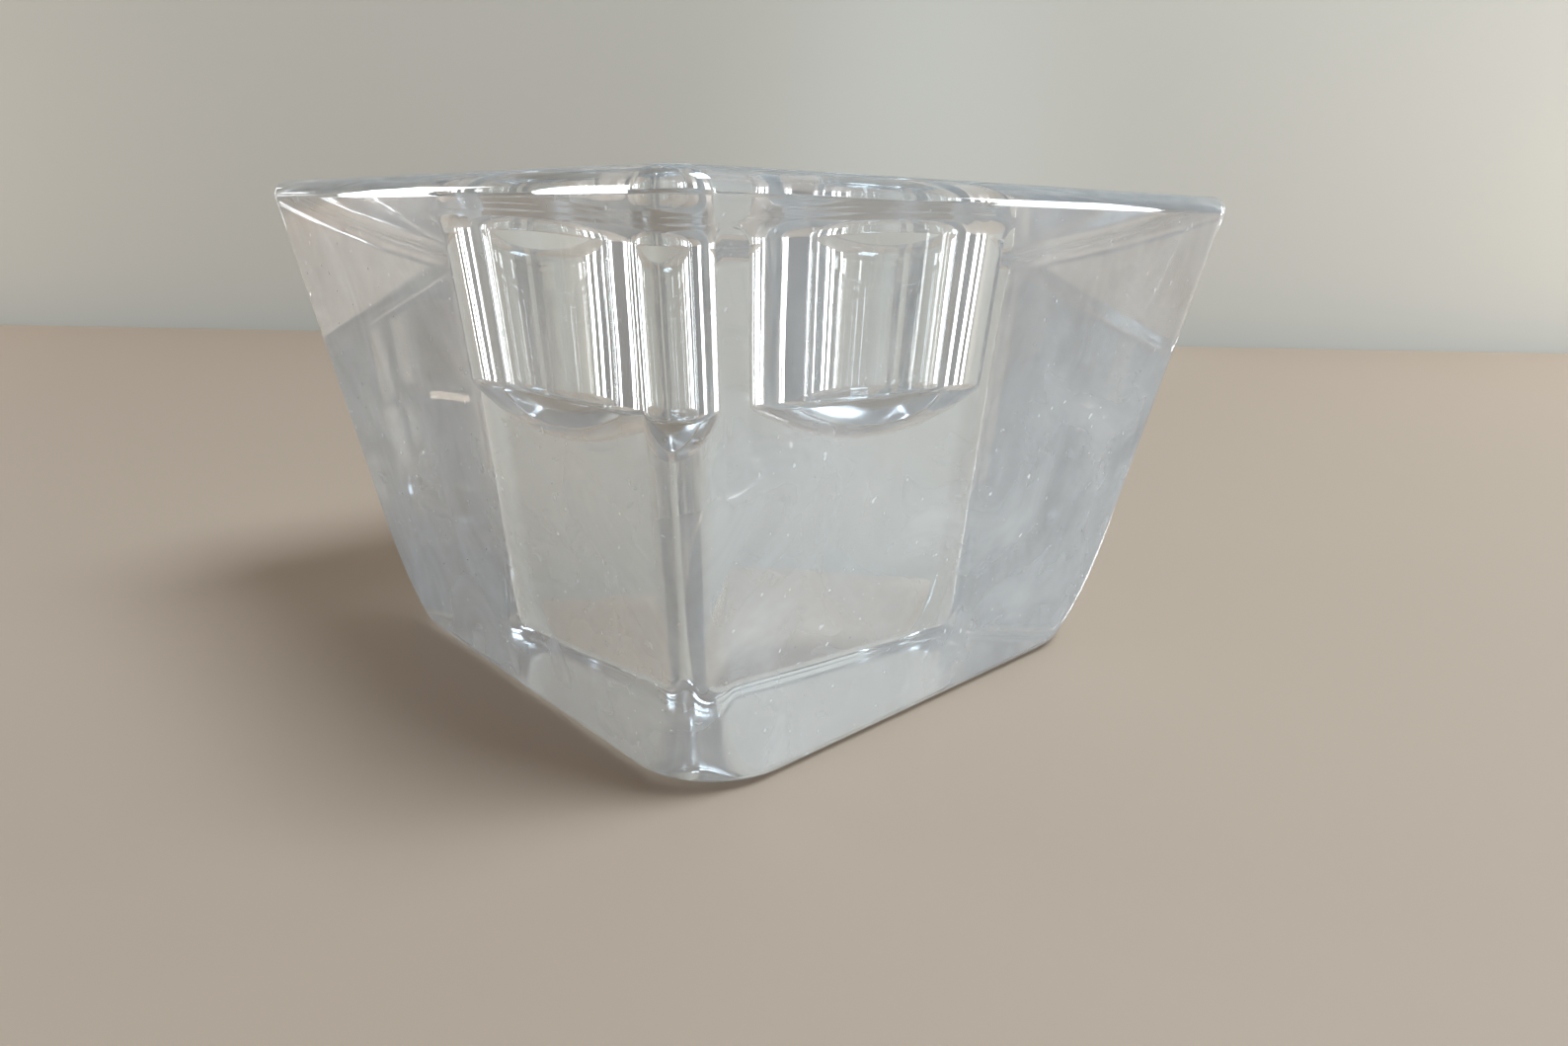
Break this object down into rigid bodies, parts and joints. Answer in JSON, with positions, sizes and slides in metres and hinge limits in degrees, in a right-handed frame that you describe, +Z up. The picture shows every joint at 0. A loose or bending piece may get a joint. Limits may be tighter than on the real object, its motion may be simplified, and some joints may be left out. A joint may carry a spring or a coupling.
{
  "type": "tealight holder",
  "caption": "Solid block of clear pressed glass, an inverted cut-off square pyramid, with a round tapered cup with a dished floor in the middle of its flat top for a tealight.",
  "frame": {"origin": "centre of the flat base, on the surface that the holder stands on", "axes": "+Z up through the middle of the candle cup; X and Y square to the four flat walls"},
  "size_m": [0.1106, 0.1106, 0.0745],
  "materials": {
    "clear_glass": "clear, fire-polished"
  },
  "bodies": {
    "root": {"glass_block": "clear_glass"}
  },
  "joints": []
}
